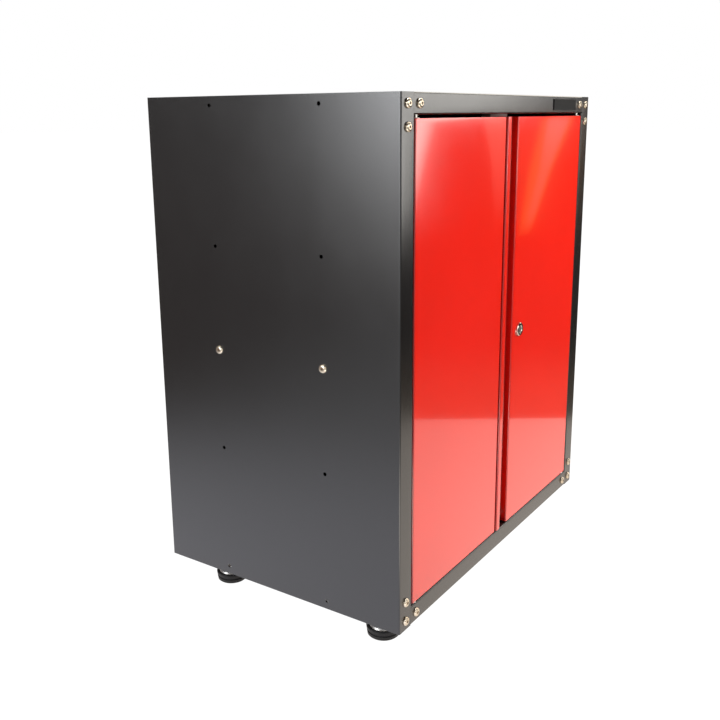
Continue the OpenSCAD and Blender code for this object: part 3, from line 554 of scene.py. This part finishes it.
large_rows = (
    (1.90, 2.68, 0.18, 0.0),
    (1.85, 2.73, 0.29, 0.55),
    (1.80, 2.78, 0.40, 0.9),
    (1.70, 2.88, 0.60, 1.0),
    (1.70, 2.96, 0.75, 0.90),
    (1.70, 4.20, 0.785, 0.86),
    (1.70, 4.30, 1.30, 0.86),
    (1.70, 4.30, 1.60, 0.0),
)
reflector("reflector_large", large_rows, 3.6, tone(1.0, 0.97, 0.92))
middle_rows = (
    (3.72, 3.92, 0.10, 0.0),
    (3.64, 3.94, 0.45, 0.6),
    (3.52, 3.94, 0.75, 1.0),
    (3.50, 3.94, 0.775, 0.0),
)
reflector("reflector_middle", middle_rows, 0.6, tone(1.0, 0.80, 0.62))
right_rows = (
    (4.02, 4.26, -0.04, 0.0),
    (4.06, 4.36, 0.10, 1.0),
    (4.16, 4.66, 0.43, 1.0),
    (4.32, 5.04, 0.75, 1.0),
    (4.40, 5.10, 0.775, 0.0),
)
reflector("reflector_right", right_rows, 0.85, tone(1.0, 0.42, 0.08))
core_rows = (
    (4.10, 4.24, 0.02, 0.0),
    (4.17, 4.32, 0.14, 0.40),
    (4.34, 4.56, 0.43, 0.55),
    (4.42, 4.90, 0.75, 1.0),
    (4.50, 5.00, 0.775, 0.0),
)
reflector("reflector_right_core", core_rows, 0.9, tone(1.0, 0.74, 0.62), core_plane)
behind_rows = (
    (-1.4, 0.9, 0.50, 0.0),
    (-1.5, 0.9, 0.58, 0.8),
    (-1.6, 0.9, 0.68, 0.7),
    (-1.7, 0.9, 0.78, 0.5),
    (-1.8, 0.9, 0.81, 0.2),
    (-2.2, 0.9, 0.92, 0.2),
    (-3.4, 0.9, 1.05, 1.0),
    (-3.4, 0.9, 1.50, 1.0),
    (-3.2, 0.8, 1.75, 0.0),
)
reflector("reflector_behind_camera", behind_rows, 2.7, tone(1.0, 0.98, 0.95))

# Softboxes: a large one high at the right in front lights the doors and is kept out of the gloss; one
# overhead lights the top.
for name, hung_at, aim, size, power, in_gloss in (
    ("softbox_front", Vector((2.3, -1.55, 2.0)), Vector((0.0, -0.2, 0.40)), 1.3, 205.0, False),
    ("softbox_top", Vector((0.2, 0.3, 3.2)), Vector((0.0, 0.0, 0.8)), 2.0, 70.0, True),
):
    lamp = bpy.data.lights.new(name, "AREA")
    lamp.shape = "SQUARE"
    lamp.size = size
    lamp.energy = power
    softbox = bpy.data.objects.new(name, lamp)
    softbox.location = hung_at
    softbox.rotation_euler = (aim - hung_at).to_track_quat("-Z", "Y").to_euler()
    softbox.visible_glossy = in_gloss
    bpy.context.scene.collection.objects.link(softbox)

# Camera: a normal lens at the left in front, level with the cabinet's top edge. Its angles, focal
# length and place were fitted to the body's edges in the photo.
photo_px = 720
focal_px = 886.6
middle_px = (353.9, 320.8)
sensor_mm = 36.0
from_near_corner = Vector((-0.9911, -0.6004, 0.7413))
turn = math.radians(-55.71)
rise = math.radians(13.08)
roll = math.radians(-0.51)
back = Vector((math.sin(turn) * math.cos(rise), -math.cos(turn) * math.cos(rise), math.sin(rise)))
right = Vector((0.0, 0.0, 1.0)).cross(back).normalized()
up = back.cross(right)
across = right * math.cos(roll) + up * math.sin(roll)
above = up * math.cos(roll) - right * math.sin(roll)
lens = bpy.data.cameras.new("photo_camera")
lens.sensor_width = sensor_mm
lens.lens = focal_px / photo_px * sensor_mm
lens.shift_x = (photo_px / 2 - middle_px[0]) / photo_px
lens.shift_y = (middle_px[1] - photo_px / 2) / photo_px
camera = bpy.data.objects.new("photo_camera", lens)
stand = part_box("left_side_panel")[0] + from_near_corner
camera.matrix_world = Matrix.Translation(stand) @ Matrix((across, above, back)).transposed().to_4x4()
bpy.context.scene.collection.objects.link(camera)
bpy.context.scene.camera = camera
bpy.context.scene.view_settings.view_transform = "Standard"
